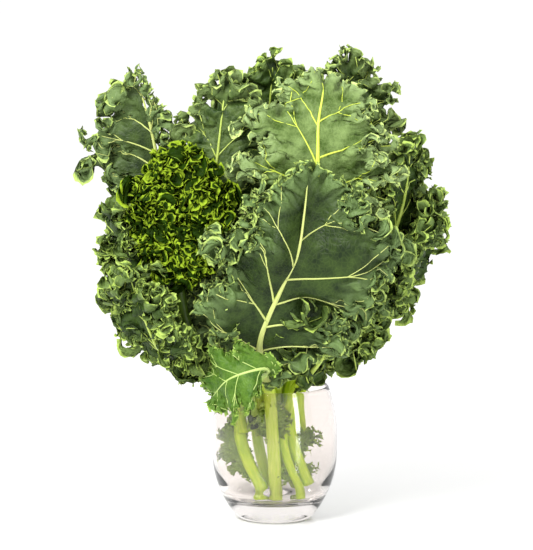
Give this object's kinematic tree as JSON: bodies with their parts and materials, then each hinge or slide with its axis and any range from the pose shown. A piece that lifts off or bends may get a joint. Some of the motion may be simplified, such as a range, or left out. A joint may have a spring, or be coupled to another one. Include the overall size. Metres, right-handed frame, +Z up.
{
  "type": "kale bunch in a glass tumbler",
  "caption": "Upright bunch of curly kale leaves on thick pale stalks, held by a clear barrel-shaped glass tumbler with a heavy flat base.",
  "frame": {"origin": "centre of the tumbler's flat foot, on the surface that it stands on", "axes": "+Z up along the tumbler's axis, -Y towards the front of the bunch, +X to the right seen from the front"},
  "size_m": [0.2617, 0.197, 0.3491],
  "materials": {
    "clear_glass": "clear, polished",
    "blue_green_leaf": "waxy, satin",
    "mid_green_leaf": "satin",
    "pale_green_leaf": "matt underside",
    "yellow_green_leaf": "satin",
    "fresh_green_leaf": "satin"
  },
  "bodies": {
    "root": {"glass_tumbler": "clear_glass", "leaf_front": "blue_green_leaf", "leaf_small": "fresh_green_leaf", "leaf_bright": "yellow_green_leaf", "leaf_lower_left": "mid_green_leaf", "leaf_left": "mid_green_leaf", "leaf_inner_left": "blue_green_leaf", "leaf_lower_right": "mid_green_leaf", "leaf_right": "mid_green_leaf", "leaf_right_low": "mid_green_leaf", "leaf_back_right": "mid_green_leaf", "leaf_back": "mid_green_leaf", "leaf_back_left": "mid_green_leaf", "leaf_left_top": "blue_green_leaf", "leaf_top_left": "pale_green_leaf", "leaf_top_center": "pale_green_leaf", "leaf_top_right": "pale_green_leaf", "leaf_top_back": "mid_green_leaf", "leaf_back_top": "pale_green_leaf"}
  },
  "joints": []
}
